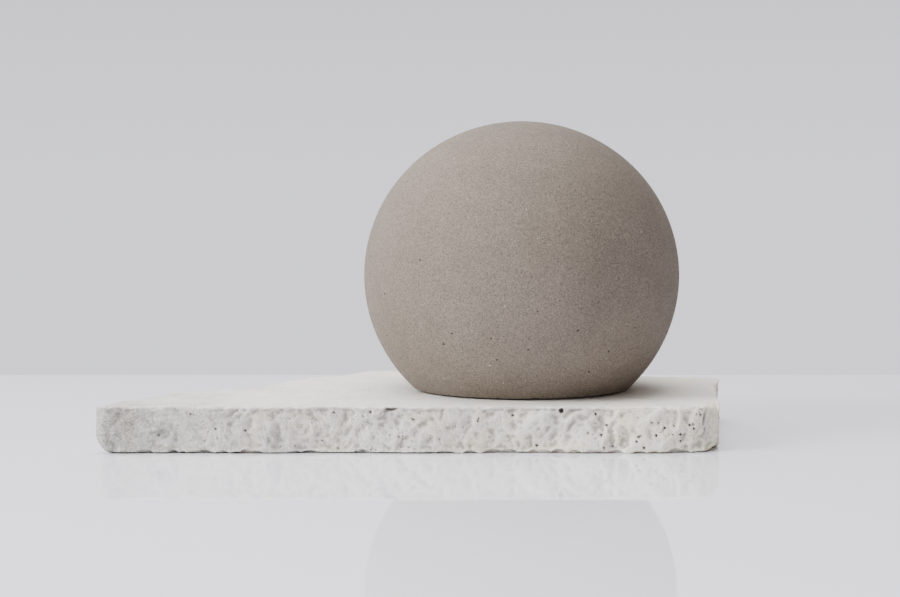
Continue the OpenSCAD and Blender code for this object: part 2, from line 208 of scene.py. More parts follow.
# %% A short way to write materials
class Graph:
    """The node graph of a material or a world. A value may be a number, a tuple or a node's output."""

    def __init__(self, owner):
        owner.use_nodes = True
        self.tree = owner.node_tree

    def feed(self, socket, value):
        if isinstance(value, bpy.types.NodeSocket):
            self.tree.links.new(value, socket)
        else:
            socket.default_value = value

    def add(self, kind, inputs=None, **settings):
        """A new node with its settings, and its named inputs fed."""
        node = self.tree.nodes.new(kind)
        for key, value in settings.items():
            setattr(node, key, value)
        for key, value in (inputs or {}).items():
            self.feed(node.inputs[key], value)
        return node

    def ramp(self, value, *stops):
        """stops are (position, colour or grey)."""
        node = self.add("ShaderNodeValToRGB", {"Fac": value})
        elements = node.color_ramp.elements
        while len(elements) < len(stops):
            elements.new(0.5)
        for element, (position, colour) in zip(elements, stops):
            element.position = position
            element.color = rgba(colour)
        return node.outputs["Color"]

    def mix(self, factor, a, b, blend="MIX"):
        """Two colours or greys, blended by a factor from 0 to 1."""
        inputs = {"Factor": factor, "A": rgba(a), "B": rgba(b)}
        return self.add("ShaderNodeMix", inputs, data_type="RGBA", blend_type=blend).outputs["Result"]


def rgba(colour):
    """A grey or a colour with its opacity of 1 added; a node's output stays as it is."""
    if isinstance(colour, bpy.types.NodeSocket):
        return colour
    return (*colour, 1) if isinstance(colour, tuple) else (colour, colour, colour, 1)


class Finish(Graph):
    """One node material. Constant values go straight on the shader's own sockets."""

    def __init__(self, name, **sockets):
        self.material = bpy.data.materials.new(name)
        super().__init__(self.material)
        self.shader = self.tree.nodes["Principled BSDF"]
        for key, value in sockets.items():
            self.shader.inputs[key.replace("_", " ")].default_value = value
        self.place = self.add("ShaderNodeTexCoord").outputs["Object"]

    def mapped(self, scale=(1, 1, 1), turn=(0, 0, 0)):
        """The place, turned and then stretched: a larger scale makes a pattern finer that way."""
        inputs = {"Vector": self.place, "Scale": scale, "Rotation": turn}
        return self.add("ShaderNodeMapping", inputs).outputs["Vector"]

    def noise(self, size, detail=2.0, rough=0.5, vector=None):
        """Noise whose features are about size metres across."""
        inputs = {"Vector": vector or self.place, "Scale": 1 / size, "Detail": detail, "Roughness": rough}
        return self.add("ShaderNodeTexNoise", inputs).outputs["Fac"]

    def cells(self, size, output="Distance"):
        """Cells about size metres across: the distance to a cell's middle, or a number for each cell."""
        return self.add("ShaderNodeTexVoronoi", {"Vector": self.place, "Scale": 1 / size}).outputs[output]

    def math(self, operation, a, b=0.0):
        node = self.add("ShaderNodeMath", operation=operation)
        self.feed(node.inputs[0], a)
        self.feed(node.inputs[1], b)
        return node.outputs[0]

    def times(self, a, b):
        return self.math("MULTIPLY", a, b)

    def bump(self, height, depth, normal=None):
        """depth is the height of the pattern in metres; normal is a bump that lies under it."""
        node = self.add("ShaderNodeBump", {"Height": height, "Distance": depth, "Strength": 1.0})
        if normal is not None:
            self.feed(node.inputs["Normal"], normal)
        return node.outputs["Normal"]

    def attribute(self, name):
        return self.add("ShaderNodeAttribute", attribute_name=name).outputs["Fac"]

    def axis(self, name):
        return self.add("ShaderNodeSeparateXYZ", {"Vector": self.place}).outputs[name]

    def done(self, colour, rough, normal):
        for socket, value in (("Base Color", colour), ("Roughness", rough), ("Normal", normal)):
            self.feed(self.shader.inputs[socket], value)
        return self.material


# %% [markdown]
# ## The globe's stone
# The globe is cast from fine sand and a warm grey binder. Seen close it is a crowd of grains, some
# pale, most brown, and the surface between them is matte, with tiny pores. Three sizes of pattern do it:
# a faint cloud over the whole globe, the grain itself, and rare pale specks with near-black specks, which
# are painted shade in the pores.

# %% Stone of the globe
def globe_stone():
    """Cast stone: cloud, patch, grain and specks, each a noise or cells of its own size."""
    f = Finish("globe_stone", Roughness=0.9)
    cloud = f.noise(45 * MM, 3)
    patch = f.noise(12 * MM, 4, 0.6)
    grain = f.noise(0.62 * MM, 2, 0.65)
    sand = f.cells(0.55 * MM, "Color")
    speck = f.cells(1.6 * MM)
    chance = f.cells(1.6 * MM, "Color")
    base = f.ramp(cloud, (0.3, (0.140, 0.113, 0.087)), (0.7, (0.169, 0.139, 0.109)))
    base = f.mix(0.35, base, f.ramp(patch, (0.3, (0.131, 0.107, 0.083)), (0.7, (0.178, 0.147, 0.116))))
    base = f.mix(0.85, base, f.ramp(grain, (0.30, 0.24), (0.5, 0.52), (0.72, 0.70)), "OVERLAY")
    tint = f.ramp(sand, (0.0, 0.30), (0.5, 0.5), (1.0, 0.72))
    base = f.mix(0.62, base, tint, "OVERLAY")
    small = f.ramp(speck, (0.12, 1.0), (0.19, 0.0))
    # The near-black specks are painted shade in tiny pores.
    dark = f.times(small, f.ramp(chance, (0.35, 1.0), (0.37, 0.0)))
    pale = f.times(small, f.ramp(chance, (0.90, 0.0), (0.915, 1.0)))
    base = f.mix(dark, base, (0.06, 0.045, 0.038))
    base = f.mix(pale, base, (0.62, 0.58, 0.52))
    # Painted shade: the pinholes' bowls are painted nearly black, darkest at their middle.
    pit = f.attribute("pit")
    base = f.mix(f.times(pit, 0.85), base, (0.035, 0.026, 0.022))
    height = f.math("ADD", f.times(grain, 0.7), f.times(sand, 0.3))
    normal = f.bump(height, 0.16 * MM, f.bump(patch, 0.25 * MM))
    return f.done(base, f.ramp(grain, (0.3, 0.80), (0.7, 0.96)), normal)


globe_material = globe_stone()
print("made", globe_material.name)

# %% [markdown]
# ## The globe
# The mould gives an oval turned about the upright axis, so rows run from the crown to the foot and
# columns run round. A mouth can't be cut cleanly out of such a grid. Instead a block of cells round the
# mouth is left out, and a patch fills the gap: its rings go step by step from the round mouth to the
# block's square edge, and each point is lifted onto the oval. The edge of the mouth is rounded by a
# curve that touches both the outside and the bore.

# %% Shape of the globe's wall
COLS = 240
FOOT_TURN = 46.2  # how far below the widest line the foot's arc begins, in degrees of the oval's turn
FOOT_ROUND = 3 * MM
RIM_LAND = 7 * MM
CROWN_ROWS = 96
arc = math.radians(FOOT_TURN)
side_normal = np.array([half_h * math.cos(arc), -half_w * math.sin(arc)])
side_normal /= np.linalg.norm(side_normal)
side_end = np.array([half_w * math.cos(arc), -half_h * math.sin(arc)])
arc_centre = side_end - FOOT_ROUND * side_normal
foot_drop = arc_centre[1] - FOOT_ROUND
rim_open = arc_centre[0] - RIM_LAND


def oval_side(a, b, turns):
    """(distance from the axis, height over the widest line) of an oval at angles above that line."""
    return np.stack([a * np.cos(turns), b * np.sin(turns)], -1)


def turned(profile):
    """The profile's (radius, height) pairs, carried round the upright axis through globe_z."""
    around = np.arange(COLS) / COLS * TAU
    r, z = profile[:, :1], profile[:, 1:]
    return np.stack([r * np.cos(around), r * np.sin(around), globe_z + z + 0 * around], -1)


OUTER, INNER = (half_w, half_h), (half_w - wall, half_h - wall)
turns = np.linspace(math.pi / 2, -arc, CROWN_ROWS)
outside, inside = [turned(oval_side(*oval, turns)) for oval in (OUTER, INNER)]
print("cell of the globe's grid at its widest:", round(half_w * TAU / COLS / MM, 2), "mm")

# %% [markdown]
# ## The mouth
# A plug in the mould can leave the mouth open, and its edge is rubbed round after casting. The patch
# is made for the outside and for the inside, and the bore joins the two.

# %% The mouth's patch
MOUTH_ROUND = 2.6 * MM
PATCH_RINGS = 9
mouth_half = math.radians(36)  # half the turn of the block that is left out
rows_out = np.where(np.abs(turns) < mouth_half)[0]
row_a, row_b = rows_out[0], rows_out[-1]
col_span = int(round(mouth_half / TAU * COLS))
col_a, col_b = COLS // 4 - col_span, COLS // 4 + col_span


def block_edge(grid):
    """The points on the edge of the block of cells left out for the mouth, once round."""
    top = grid[row_a, col_a:col_b]
    right = grid[row_a:row_b, col_b]
    bottom = grid[row_b, col_b:col_a:-1]
    left = grid[row_b:row_a:-1, col_a]
    return np.concatenate([top, right, bottom, left])


def on_oval(x, z, a, b):
    """The back surface of the oval over a point of the plane across it: y from x and z."""
    return np.stack([x, a * np.sqrt(1 - (x / a) ** 2 - (z / b) ** 2), z + globe_z], -1)


def mouth_rings(grid, a, b):
    """Rings from the square edge of the block to the circle where the mouth's rounding starts."""
    edge = block_edge(grid)
    x, z = edge[:, 0], edge[:, 2] - globe_z
    reach = np.hypot(x, z)
    ring_r = mouth_r + MOUTH_ROUND
    share = (np.arange(PATCH_RINGS + 1) / PATCH_RINGS)[:, None] ** 0.9
    scale = (1 - share) + share * ring_r / reach
    return on_oval(x * scale, z * scale, a, b)


def rounded_edge(ring, a, b, way, steps=7):
    """A curve from the ring, round the corner, onto the bore: (1-t)^2 A + 2t(1-t) C + t^2 B."""
    x, z = ring[:, 0], ring[:, 2] - globe_z
    out = np.hypot(x, z)
    corner = on_oval(x * mouth_r / out, z * mouth_r / out, a, b)
    bore = corner - np.array([0, way * MOUTH_ROUND, 0])
    t = np.linspace(0, 1, steps)[1:, None, None]
    return (1 - t) ** 2 * ring + 2 * t * (1 - t) * corner + t * t * bore


patch_out, patch_in = mouth_rings(outside, *OUTER), mouth_rings(inside, *INNER)
edge_out, edge_in = rounded_edge(patch_out[-1], *OUTER, 1), rounded_edge(patch_in[-1], *INNER, -1)
bore_share = np.linspace(0, 1, 5)[1:-1, None, None]
bore = edge_out[-1] * (1 - bore_share) + edge_in[-1] * bore_share
mouth_grid = np.concatenate([patch_out, edge_out, bore, edge_in[::-1], patch_in[::-1]])
print("mouth patch:", mouth_grid.shape[0], "rings of", mouth_grid.shape[1])

# %% [markdown]
# ## Pinholes
# Air bubbles leave round pinholes a millimetre or so wide, more of them low down, where the bubbles
# were caught against the mould. A pinhole is too small for the grid to bend into, so a cell is taken
# out and a ready-made one, with a ring and a small bowl in it, is set in its place. All pinholes are
# worked out together: a template in the cell's own two directions, laid on every chosen cell at once.

# %% Pinholes stamped into a grid
HOLE_SIDES = 12
BOWL = [(1.2, 0.0), (1.0, 0.08), (0.86, 0.6), (0.5, 0.92), (0.0, 1.0)]


def stamp_holes(grid, rows, cols, radius, depth, normals):
    """Points and faces of cells with a bowl in them; each point's share of the bowl's depth too."""
    nxt = (cols + 1) % grid.shape[1]
    corners = np.stack([grid[rows, cols], grid[rows, nxt], grid[rows + 1, nxt], grid[rows + 1, cols]], 1)
    centre = corners.mean(1)
    along = (corners[:, 1] + corners[:, 2] - corners[:, 0] - corners[:, 3]) / 2
    along /= np.linalg.norm(along, axis=1, keepdims=True)
    across = np.cross(normals, along)
    around = np.arange(HOLE_SIDES) / HOLE_SIDES * TAU + math.pi / HOLE_SIDES * 3
    spoke = np.cos(around)[None, :, None] * along[:, None]
    spoke = spoke + np.sin(around)[None, :, None] * across[:, None]
    rings = [corners]
    share = [np.zeros((len(rows), 4))]
    for width, sink in BOWL[:-1]:
        ring = centre[:, None] + spoke * (radius * width)[:, None, None]
        ring = ring - normals[:, None] * (depth * sink)[:, None, None]
        rings.append(ring)
        share.append(np.full((len(rows), HOLE_SIDES), min(1.0, sink * 5)))
    rings.append((centre - normals * depth[:, None])[:, None])
    share.append(np.ones((len(rows), 1)))
    points = np.concatenate(rings, 1)
    n = HOLE_SIDES
    k = np.arange(n)
    nxt_k = (k + 1) % n
    ring_start = 4 + n * np.arange(len(BOWL) - 1)
    walls = [np.stack([a + k, a + nxt_k, b + nxt_k, b + k], 1)
             for a, b in zip(ring_start[:-1], ring_start[1:])]
    tip = ring_start[-1] + n
    floor = np.stack([ring_start[-1] + k, ring_start[-1] + nxt_k, np.full(n, tip)], 1)
    # Which of the four corners each ring point faces, in the cell's own two directions
    flat = (points[0] - centre[0]) @ np.stack([along[0], across[0]], 1)
    angle = np.arctan2(flat[:, 1], flat[:, 0])
    gap = np.abs((angle[None, 4:4 + n] - angle[:4, None] + math.pi) % TAU - math.pi)
    owner = gap.argmin(0)
    same = owner == owner[nxt_k]
    fans = np.stack([owner, 4 + nxt_k, 4 + k], 1)
    bridges = np.stack([owner, owner[nxt_k], 4 + nxt_k, 4 + k], 1)
    tris = np.concatenate([fans[same], floor])
    quads = np.concatenate([bridges[~same]] + walls)
    shift = (np.arange(len(rows)) * points.shape[1])[:, None, None]
    return (points.reshape(-1, 3), (tris[None] + shift).reshape(-1, 3),
            (quads[None] + shift).reshape(-1, 4), np.concatenate(share, 1).ravel())


# %% [markdown]
# ## The globe in one piece
# Outside, hollow, mouth, foot and pinholes are made apart and joined where their points meet, so the
# casting is one closed skin. Pinholes are drawn by chance, more of them low down, and never beside
# the mouth. Last, the whole skin is sunk a little here and there, as no cast surface is true.

# %% Put the globe together
def foot_profile():
    """The foot's arc, the flat ring it stands on, a small chamfer and the straight throat."""
    start = math.atan2(side_normal[1], side_normal[0])
    sweep = np.linspace(start, -math.pi / 2, 9)[1:]
    foot_arc = arc_centre + FOOT_ROUND * np.stack([np.cos(sweep), np.sin(sweep)], -1)
    land = np.stack([np.linspace(arc_centre[0], rim_open + MM, 5)[1:], np.full(4, foot_drop)], -1)
    meet = -INNER[1] * math.sqrt(1 - (rim_open / INNER[0]) ** 2)
    throat = np.stack([np.full(4, rim_open), np.linspace(foot_drop + MM, meet, 4)], -1)
    join = math.asin(meet / INNER[1])
    hollow = oval_side(*INNER, np.linspace(join, -arc, 4)[1:])
    return np.concatenate([oval_side(*OUTER, turns[-1:]), foot_arc, land, throat, hollow])


def globe_normals(points):
    """Outward direction of the oval at each point: its coordinates over the half widths squared."""
    q = points - np.array([0, 0, globe_z])
    n = q / np.array([half_w, half_w, half_h]) ** 2
    return n / np.linalg.norm(n, axis=-1, keepdims=True)


HOLES = 66
NARROWEST, WIDEST = 0.24 * MM, 0.52 * MM  # radii of the pinholes
rng = np.random.default_rng(7)
wide_rows = np.arange(6, CROWN_ROWS - 2)
row_z = half_h * np.sin(turns[wide_rows])
weight = (0.12 + smooth_step(-row_z, -0.03, 0.05)) * np.cos(turns[wide_rows])
hole_rows = rng.choice(wide_rows, HOLES, p=weight / weight.sum())
hole_cols = rng.integers(0, COLS, HOLES)
clear = (hole_rows < row_a - 1) | (hole_rows > row_b) | (hole_cols < col_a - 1) | (hole_cols > col_b)
spots = np.unique(np.stack([hole_rows[clear], hole_cols[clear]], 1), axis=0)
hole_rows, hole_cols = spots[:, 0], spots[:, 1]
cell_w = half_w * np.cos(turns[hole_rows]) * TAU / COLS
hole_r = np.minimum(rng.uniform(NARROWEST, WIDEST, len(spots)), 0.36 * cell_w)
hole_mid = (outside[hole_rows, hole_cols] + outside[hole_rows + 1, (hole_cols + 1) % COLS]) / 2
hole_points, hole_tris, hole_quads, hole_share = stamp_holes(
    outside, hole_rows, hole_cols, hole_r, hole_r * 1.5, globe_normals(hole_mid))

cells = grid_cells(CROWN_ROWS, COLS).reshape(CROWN_ROWS - 1, COLS, 4)
keep = np.ones((CROWN_ROWS - 1, COLS), bool)
keep[row_a:row_b, col_a:col_b] = False
keep_out = keep.copy()
keep_out[hole_rows, hole_cols] = False
foot_grid = turned(foot_profile())
parts = [
    (outside, [cells[keep_out]]),
    (inside, [cells[keep][:, ::-1]]),
    (mouth_grid, [grid_cells(*mouth_grid.shape[:2])]),
    (foot_grid, [grid_cells(*foot_grid.shape[:2])]),
    (hole_points, [hole_tris, hole_quads]),
]
points, tris, quads, offset = [], [], [], 0
for part_points, part_faces in parts:
    flat = part_points.reshape(-1, 3)
    points.append(flat)
    for face in part_faces:
        (tris if face.shape[1] == 3 else quads).append(face + offset)
    offset += len(flat)
points = np.concatenate(points)
pit_share = np.r_[np.zeros(len(points) - len(hole_share)), hole_share]
print(len(spots), "pinholes in the globe")

# A cast surface is never quite true: sink it here and there by up to a fifth of a millimetre
sink = 0.22 * MM * rough_noise(points, 22 * MM, 5, 3) * (points[:, 2] > foot_z + 0.5 * MM)
edge_nick = smooth_step(points[:, 2], foot_z + 6 * MM, foot_z + 1 * MM)
sink = sink + edge_nick * 0.35 * MM * smooth_step(rough_noise(points, 5 * MM, 9, 2), 0.55, 0.8)
points = points - globe_normals(points) * sink[:, None]
all_faces = [np.concatenate(quads), np.concatenate(tris)]
globe = put_mesh("globe_cast", points, all_faces, merge=2e-6, pit=pit_share)
place_piece(globe, "globe", "globe_stone", globe_material, "globe")

# %% [markdown]
# ## The slab's stone
# The slab is a pale limestone. Its sides are as they broke, with stains on them.
# One end is greyer and the other creamier. That slow change comes from the Object coordinates' X.
# Small open pores are cells kept only where a random number is low, painted near black as painted shade.
# The shape itself stores how deep each point lies in its hollow, and that darkens the hollows: partly
# dust, partly painted shade, with the deepest pits painted near black as painted shade.

# %% Stone of the slab
def slab_stone():
    """Limestone: slow colour along X, streaks and crumbs on the broken side, a smoother top."""
    f = Finish("slab_stone", Roughness=0.88)
    along = f.math("ADD", f.times(f.axis("X"), 1 / (300 * MM)), 0.6)
    side = f.ramp(f.axis("Z"), (0.0200, 1.0), (0.0209, 0.10))
    base = f.ramp(along, (0.00, (0.55, 0.535, 0.49)), (0.20, (0.81, 0.78, 0.70)),
                  (0.50, (0.86, 0.82, 0.72)), (0.62, (0.98, 0.93, 0.80)), (0.92, (1.0, 0.95, 0.80)))
    cloud = f.noise(26 * MM, 5, 0.65)
    base = f.mix(0.8, base, f.ramp(cloud, (0.36, 0.30), (0.62, 0.62)), "OVERLAY")
    slant = f.mapped((1.0, 0.6, 3.2), (0, math.radians(40), 0))
    streak = f.noise(6 * MM, 4, 0.65, slant)
    base = f.mix(0.7, base, f.ramp(streak, (0.34, 0.30), (0.50, 0.52), (0.68, 0.64)), "OVERLAY")
    crumb = f.noise(1.1 * MM, 4, 0.7)
    base = f.mix(0.85, base, f.ramp(crumb, (0.32, 0.24), (0.50, 0.50), (0.68, 0.68)), "OVERLAY")
    stain = f.ramp(f.noise(13 * MM, 6, 0.75), (0.52, 0.0), (0.64, 1.0))
    left = f.ramp(along, (0.04, 1.0), (0.22, 0.45), (0.60, 0.18))
    stained = f.times(f.times(stain, left), f.times(side, 0.95))
    base = f.mix(stained, base, (0.30, 0.285, 0.27))
    # The hollows are darkened by their depth, partly dust and partly painted shade; the deepest pits are
    # painted near black as painted shade.
    hollow = f.attribute("hollow")
    base = f.mix(f.ramp(hollow, (0.04, 0.0), (0.55, 0.68)), base, (0.30, 0.27, 0.235))
    base = f.mix(f.ramp(hollow, (0.60, 0.0), (0.85, 0.93)), base, (0.055, 0.045, 0.04))
    # Painted shade: the pores are painted near black for the shade inside them.
    pore = f.ramp(f.cells(2.4 * MM), (0.10, 1.0), (0.15, 0.0))
    kept = f.ramp(f.cells(2.4 * MM, "Color"), (0.30, 1.0), (0.33, 0.0))
    pores = f.times(pore, kept)
    base = f.mix(f.times(pores, f.times(side, 0.9)), base, (0.085, 0.07, 0.06))
    top = f.ramp(f.axis("Z"), (0.02045, 0.0), (0.0209, 1.0))
    smooth = f.mix(0.20, (0.93, 0.915, 0.90), f.ramp(cloud, (0.3, 0.76), (0.7, 0.95)))
    # A brown patch on the top, right of the globe where its shadow falls: partly a stain, partly a painted
    # warm shadow.
    brown_stain_and_shadow = f.ramp(f.noise(14 * MM, 6, 0.72), (0.50, 0.0), (0.68, 1.0))
    brown_stain_and_shadow = f.times(brown_stain_and_shadow, f.ramp(along, (0.72, 0.0), (0.84, 0.55)))
    smooth = f.mix(brown_stain_and_shadow, smooth, (0.52, 0.42, 0.37))
    base = f.mix(f.times(top, 0.85), base, smooth)
    scratch = f.noise(2.2 * MM, 3, 0.7, slant)
    grit = f.math("SUBTRACT", f.times(crumb, 0.8), pores)
    height = f.times(f.math("ADD", grit, f.times(scratch, 0.7)), side)
    fine = f.bump(f.noise(0.6 * MM, 3, 0.65), 0.25 * MM)
    return f.done(base, f.ramp(crumb, (0.3, 0.80), (0.7, 0.95)), f.bump(height, 1.3 * MM, fine))


slab_material = slab_stone()
print("made", slab_material.name)

# %% [markdown]
# ## The slab's outline
# Few corners give the broken outline, each as a share of the slab's length and depth. It is walked at
# an even pace, and a moving average takes the knife edge off its corners. The front, which is seen
# closest, keeps every step of the walk. Elsewhere every third step is enough. `inward` is the way
# from each point into the stone, averaged widely so that neighbours hardly differ.

# %% Walk round the outline
CORNERS = np.array([
    (0.000, 0.016), (0.012, 0.002), (0.130, 0.010), (0.235, 0.000), (0.370, 0.008), (0.500, 0.000),
    (0.640, 0.012), (0.765, 0.003), (0.860, 0.004), (0.925, 0.028), (0.950, 0.080), (0.955, 0.212),
    (0.968, 0.400), (0.980, 0.580), (1.000, 0.740), (0.990, 0.775), (0.860, 0.818), (0.700, 0.890),
    (0.540, 0.935), (0.412, 1.000), (0.395, 0.985), (0.347, 0.847), (0.290, 0.760), (0.262, 0.670),
    (0.225, 0.480), (0.140, 0.425), (0.085, 0.330), (0.035, 0.150)])
STEP = 0.55 * MM
FRONT_SEEN = 12 * MM  # how far back from the front line the outline keeps every step
span = np.array([slab_high.x - slab_low.x, slab_high.y - slab_low.y])
corner_xy = CORNERS * span + np.array([slab_low.x, slab_low.y])


def walk(corners, step):
    """Points along a closed run of corners at an even pace: each length is shared out evenly."""
    loop = np.vstack([corners, corners[:1]])
    lengths = np.r_[0, np.cumsum(np.linalg.norm(np.diff(loop, axis=0), axis=1))]
    along = np.linspace(0, lengths[-1], int(lengths[-1] / step), endpoint=False)
    return np.stack([np.interp(along, lengths, loop[:, k]) for k in (0, 1)], -1)


def averaged(values, width):
    """Moving average round a closed run."""
    kernel = np.ones(width) / width
    wide = np.concatenate([values[-width:], values, values[:width]])
    columns = [np.convolve(column, kernel, "same") for column in wide.T]
    return np.stack(columns, -1)[width:-width]


outline = averaged(walk(corner_xy, STEP), 7)
tangent = np.roll(outline, -4, 0) - np.roll(outline, 4, 0)
inward = averaged(np.stack([-tangent[:, 1], tangent[:, 0]], -1), 31)
inward /= np.linalg.norm(inward, axis=1, keepdims=True)
seen_close = outline[:, 1] < slab_low.y + FRONT_SEEN
chosen = np.where(seen_close | (np.arange(len(outline)) % 3 == 0))[0]
outline, inward, seen_close = outline[chosen], inward[chosen], seen_close[chosen]
print(len(outline), "columns round the slab")

# %% [markdown]
# ## The side before it breaks
# The side starts as an upright wall that follows the outline, as if the stone had been sawn. Its rows lie
# a little closer together at the upper edge, where the chips are.

# %% An upright side
RECESS_PLAY = 0.6 * MM  # gap left round the lamp
RECESS_DEPTH = 3 * MM
SIDE_ROWS = 40
recess_r = lamp_r + RECESS_PLAY
recess_z = slab_top - RECESS_DEPTH
around = np.arctan2(outline[:, 1], outline[:, 0])
spoke = np.stack([np.cos(around), np.sin(around)], -1)


def lifted(flat, z):
    """Points of the plane, set at one height."""
    return np.concatenate([flat, np.full((len(flat), 1), z)], 1)


push = lifted(inward, 0.0)
side_z = slab_top * (1 - np.linspace(0, 1, SIDE_ROWS) ** 1.05)
side = np.stack([lifted(outline, z) for z in side_z])
print("side:", side.shape[0], "rows of", side.shape[1])

# %% [markdown]
# ## Breaking the side
# Stone broken with a hammer leaves shallow scoops that meet in sharp ridges. They run slantwise here
# and are larger towards the right, and between them the stone is crumbly. Every hollow is cut inwards
# from the outline, so the slab keeps its overall size. Hollows of two sizes are added to slow, rough and
# fine noise, and a slow warp of the points they are read at keeps them from looking alike.

# %% Hollows of the broken side
def slanted(p, long, short, turn):
    """The points in a frame turned in the upright plane and squeezed across, for slanting hollows."""
    c, s = math.cos(turn), math.sin(turn)
    run, back, up = p[..., 0] + 0.6 * p[..., 1], p[..., 1], p[..., 2]
    return np.stack([(run * c + up * s) / long, (up * c - run * s) / short, back / long * 0.8], -1)


def scoops(p, long, short, turn, seed):
    """Round-bottomed hollows that meet in ridges: one less the squared distance to a cell's middle."""
    near = cell_noise(slanted(p, long, short, turn), 1.0, seed)
    return np.clip(1 - (near / 0.8) ** 2, 0, 1)


def shift3(p, size, seed, far):
    """The points moved about by a slow noise, each way at once."""
    return p + far * (np.stack([rough_noise(p, size, seed + k, 2) for k in range(3)], -1) - 0.5)


side_x, side_y, side_up = side[..., 0], side[..., 1], side[..., 2]
right = smooth_step(side_x, -20 * MM, 50 * MM)
left = smooth_step(side_x, -120 * MM, -150 * MM)
bold = rough_noise(side, 30 * MM, 71, 2)
warp = shift3(side, 11 * MM, 61, 9 * MM)
depth = 1.8 * MM * rough_noise(side, 24 * MM, 21, 2) - 1.6 * MM
large = (0.8 + 2.3 * right * smooth_step(bold, 0.3, 0.6)) * MM
depth += large * scoops(warp, 15 * MM, 8 * MM, math.radians(55), 31)
small = (1.1 - 0.6 * left) * MM * smooth_step(bold, 0.35, 0.7)
depth += small * scoops(warp, 6.5 * MM, 3.6 * MM, math.radians(42), 41)
depth += (1.9 - 1.0 * right - 0.9 * left) * MM * rough_noise(warp, 4.2 * MM, 51, 4)
depth += 0.75 * MM * rough_noise(side, 1.9 * MM, 57, 3)
# Both edges hold their line better than the middle of the side does
upper = 0.30 + 0.70 * smooth_step(side_up, slab_top - 0.1 * MM, slab_top - 1.8 * MM)
lower = 0.5 + 0.5 * smooth_step(side_up, 0, 3.5 * MM)
depth = np.maximum(depth, 0) * upper * lower
tips = np.maximum(smooth_step(side_x, -182 * MM, -190 * MM), smooth_step(side_x, 80 * MM, 88 * MM))
depth *= 1 - 0.7 * tips * (side_y < -40 * MM)

side = side + push[None] * depth[..., None]
# The under edge is not quite flat either, so a thin dark gap shows between it and the ground
gap = smooth_step(rough_noise(side, 22 * MM, 81, 3), 0.30, 0.56)
high_side = smooth_step(side[..., 0], -20 * MM, -50 * MM) * smooth_step(side[..., 0], -178 * MM, -160 * MM)
gap = 0.9 * MM * np.maximum(gap, 0.8 * high_side)
side[..., 2] = np.maximum(side[..., 2], gap)
print("hollows up to", round(float(depth.max()) / MM, 2), "mm deep")

# %% [markdown]
# ## The slab as one surface
# One grid covers the whole slab: out over the recess's floor, up its wall, over the top, down the
# broken side and back under. The first parameter runs round the outline and the second runs across.
# Close to the edge the rows run beside it, and further in they fan out from the recess. A fan alone
# would fold where the edge runs almost along a spoke.

# %% The slab's grid
FAN_STEPS = np.array([14, 9, 5.5, 3, 1.2]) * MM
EDGE_BAND = 3.0 * MM
BAND_SHARES = (0.30, 0.53, 0.71, 0.87)


def between(inner, outer, share):
    """A row part of the way from one row to another; the share may differ from column to column."""
    return inner + (outer - inner) * np.reshape(share, (-1, 1))


rim, edge = lifted(spoke * (recess_r + 0.3 * MM), slab_top), side[0]
band = averaged(edge, 9) + push * EDGE_BAND
width = np.linalg.norm(band - rim, axis=1)
rows = [lifted(spoke * r, recess_z) for r in (0, 0.5 * recess_r, recess_r)]
rows += [lifted(spoke * recess_r, slab_top - 0.3 * MM), rim]
rows += [between(rim, band, share * (1 - FAN_STEPS[0] / width)) for share in (0.15, 0.35, 0.6, 0.85, 1.0)]
rows += [between(rim, band, 1 - step / width) for step in FAN_STEPS[1:]] + [band]
rows += [between(band, edge, np.full(len(edge), share)) for share in BAND_SHARES]
side_start = len(rows)
under = (averaged(side[-1], 9) + push * EDGE_BAND) * np.array([1, 1, 0])
rows += list(side) + [under * share for share in (1, 0.97, 0.5, 0)]
side_end_row = side_start + SIDE_ROWS
slab_grid = np.stack(rows)
far_out = np.hypot(slab_grid[..., 0], slab_grid[..., 1])
is_top = (slab_grid[..., 2] > slab_top - 0.01 * MM) & (far_out > 50 * MM)
worn = 0.32 * MM * rough_noise(slab_grid, 16 * MM, 91, 4) * smooth_step(far_out, 50 * MM, 62 * MM)
slab_grid[..., 2] -= worn * is_top
print("slab grid:", slab_grid.shape)

# %% [markdown]
# ## The rounded ends of the front
# The ends of a broken stone wear first. Below, the stone curves up off the ground at both ends, and
# above, the right end curves down. Only heights change, so nothing folds.

# %% The rounded ends of the front
FRONT_BAND = 14 * MM  # how far back from the front line a point counts as the front


def taken(x, end, width, tall):
    """Height that a quarter ellipse takes from a corner: none at its width from the end, all at the end."""
    share = np.clip(1 - np.abs(x - end) / width, 0, 1)
    return tall * (1 - np.sqrt(1 - share ** 2))


front_x = slab_grid[side_start:side_end_row, outline[:, 1] < slab_low.y + FRONT_BAND, 0]
lift = taken(slab_grid[..., 0], front_x.min(), 7.5 * MM, 10 * MM)
lift += taken(slab_grid[..., 0], front_x.max(), 6 * MM, 6.5 * MM)
drop = taken(slab_grid[..., 0], front_x.max(), 8 * MM, 4.7 * MM)
near = smooth_step(slab_grid[..., 1], slab_low.y + 24 * MM, slab_low.y + 12 * MM)
slab_grid[..., 2] = lift * near + slab_grid[..., 2] * (1 - (lift + drop) * near / slab_top)
print(f"ends rounded by {lift.max() / MM:.1f} mm below and {drop.max() / MM:.1f} mm above")

# %% [markdown]
# ## Chips along the edges
# Small flakes break off an edge and leave hollows like the inside of a shell. Here they come from balls
# that stand mostly outside the stone. Each point that lies in a ball is pushed out to the ball's surface.

# %% Chips along the two edges
CHIPS_ABOVE, CHIPS_BELOW = 230, 110
chip_rng = np.random.default_rng(19)


